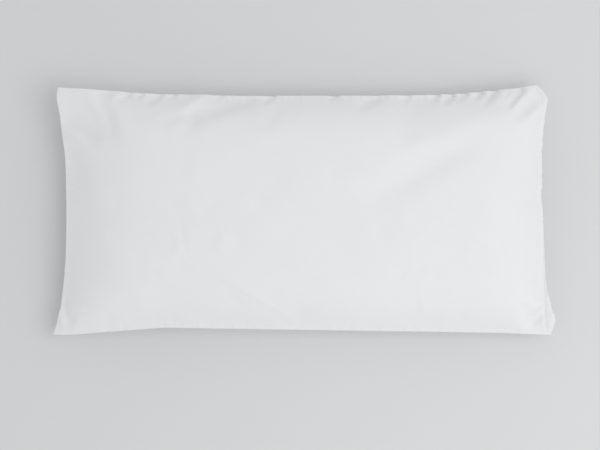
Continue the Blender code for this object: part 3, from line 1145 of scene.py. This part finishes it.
def sew(bm, points, normals, sizes):
    """Lay one row of stitches along a line of points."""
    steps = np.linalg.norm(np.diff(points, axis=0), axis=1)
    places = np.concatenate(((0.0,), np.cumsum(steps)))
    count = int((places[-1] - 2.0 * sizes.hem_depth) / sizes.stitch_pitch)
    first = 0.5 * (places[-1] - (count - 1) * sizes.stitch_pitch)
    half = 0.5 * sizes.stitch_length
    width = 0.5 * sizes.thread_width
    size = Matrix.Diagonal((width, STITCH_FLATNESS * width, half, 1.0))
    for number in range(count):
        middle = first + number * sizes.stitch_pitch
        start = along_line(middle - half, places, points)
        end = along_line(middle + half, places, points)
        up = along_line(middle, places, normals).normalized()
        run = (end - start).normalized()
        beside = up.cross(run).normalized()
        turn = Matrix((beside, run.cross(beside), run)).transposed().to_4x4()
        place = along_line(middle, places, points) + up * STITCH_PROUD * sizes.thread_width
        bmesh.ops.create_uvsphere(
            bm,
            u_segments=STITCH_SIDES,
            v_segments=STITCH_RINGS,
            radius=1.0,
            matrix=Matrix.Translation(place) @ turn @ size,
        )


def along_line(place, places, values):
    """The vector at a place along a line of points."""
    return Vector([np.interp(place, places, values[:, axis]) for axis in range(3)])


class PILLOW_OT_stitches(bpy.types.Operator):
    """Sew the hems of the mouth, once the case is there"""

    bl_idname = "pillow.stitches"
    bl_label = "Hem stitches"

    def execute(self, context):
        sizes = context.scene.pillow_sizes
        cloth = bpy.data.objects["case_cloth"].data
        bm = bmesh.new()
        for side in (1.0, -1.0):
            points, normals = stitch_line(cloth, sizes, side)
            sew(bm, points, normals, sizes)
        mesh = bpy.data.meshes.new("hem_stitches")
        bm.to_mesh(mesh)
        bm.free()
        mesh.shade_smooth()
        mesh.materials.append(thread_material(context.scene.pillow_colours.thread))
        stitches = bpy.data.objects.new("hem_stitches", mesh)
        context.scene.collection.objects.link(stitches)
        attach(stitches, "root")
        return {"FINISHED"}


def soft_room(zenith, horizon):
    """White light from all round, of one strength overhead and another low down."""
    world = bpy.data.worlds.new("soft_room")
    world.use_nodes = True
    nodes = world.node_tree.nodes
    links = world.node_tree.links
    direction = nodes.new("ShaderNodeTexCoord")
    split = nodes.new("ShaderNodeSeparateXYZ")
    blend = nodes.new("ShaderNodeMapRange")
    blend.inputs["To Min"].default_value = horizon
    blend.inputs["To Max"].default_value = zenith
    links.new(direction.outputs["Generated"], split.inputs[0])
    links.new(split.outputs["Z"], blend.inputs["Value"])
    links.new(blend.outputs["Result"], nodes["Background"].inputs["Strength"])
    nodes["Background"].inputs["Color"].default_value = (1.0, 1.0, 1.0, 1.0)
    return world


class PILLOW_OT_stage(bpy.types.Operator):
    """Lay the floor, hang the lights and set up the camera"""

    bl_idname = "pillow.stage"
    bl_label = "Floor, lights and camera"

    def execute(self, context):
        scene = context.scene
        bm = bmesh.new()
        bmesh.ops.create_grid(bm, x_segments=1, y_segments=1, size=FLOOR_SIZE)
        mesh = bpy.data.meshes.new("floor")
        bm.to_mesh(mesh)
        bm.free()
        mesh.materials.append(floor_material(scene.pillow_colours.floor))
        floor = bpy.data.objects.new("floor", mesh)
        scene.collection.objects.link(floor)

        scene.world = soft_room(LIGHT_OVERHEAD, LIGHT_LOW_DOWN)

        lamp = bpy.data.lights.new("key_light", "AREA")
        lamp.shape = "SQUARE"
        lamp.size = KEY_LIGHT_SIZE
        lamp.energy = KEY_LIGHT_POWER
        key = bpy.data.objects.new("key_light", lamp)
        key.location = KEY_LIGHT_PLACE
        key.rotation_mode = "QUATERNION"
        key.rotation_quaternion = (KEY_LIGHT_PLACE - KEY_LIGHT_AIM).to_track_quat("Z", "Y")
        scene.collection.objects.link(key)

        lens = bpy.data.cameras.new("camera")
        lens.lens = CAMERA_LENS
        lens.sensor_width = CAMERA_SENSOR
        lens.clip_end = 100.0
        camera = bpy.data.objects.new("camera", lens)
        back = Vector((0.0, -math.cos(CAMERA_ELEVATION), math.sin(CAMERA_ELEVATION)))
        camera.location = CAMERA_AIM + back * (VIEW_WIDTH * CAMERA_LENS / CAMERA_SENSOR)
        camera.rotation_mode = "QUATERNION"
        camera.rotation_quaternion = back.to_track_quat("Z", "Y")
        scene.collection.objects.link(camera)
        scene.camera = camera
        scene.view_settings.view_transform = "Standard"
        return {"FINISHED"}


class PILLOW_PT_panel(bpy.types.Panel):
    """Sizes, colours and the steps of the pillowcase"""

    bl_label = "Pillowcase"
    bl_space_type = "VIEW_3D"
    bl_region_type = "UI"
    bl_category = "Pillowcase"

    def draw(self, context):
        layout = self.layout
        for group in (context.scene.pillow_sizes, context.scene.pillow_colours):
            box = layout.box()
            for name in group.__annotations__:
                box.prop(group, name)
        for operator in OPERATORS:
            layout.operator(operator.bl_idname)


OPERATORS = (PILLOW_OT_case, PILLOW_OT_stitches, PILLOW_OT_stage)
CLASSES = (PillowSizes, PillowColours, *OPERATORS, PILLOW_PT_panel)


def register():
    for item in CLASSES:
        bpy.utils.register_class(item)
    bpy.types.Scene.pillow_sizes = bpy.props.PointerProperty(type=PillowSizes)
    bpy.types.Scene.pillow_colours = bpy.props.PointerProperty(type=PillowColours)


def unregister():
    del bpy.types.Scene.pillow_colours
    del bpy.types.Scene.pillow_sizes
    for item in reversed(CLASSES):
        bpy.utils.unregister_class(item)


def main():
    register()
    bpy.ops.pillow.case()
    bpy.ops.pillow.stitches()
    bpy.ops.pillow.stage()


if __name__ == "__main__":
    main()
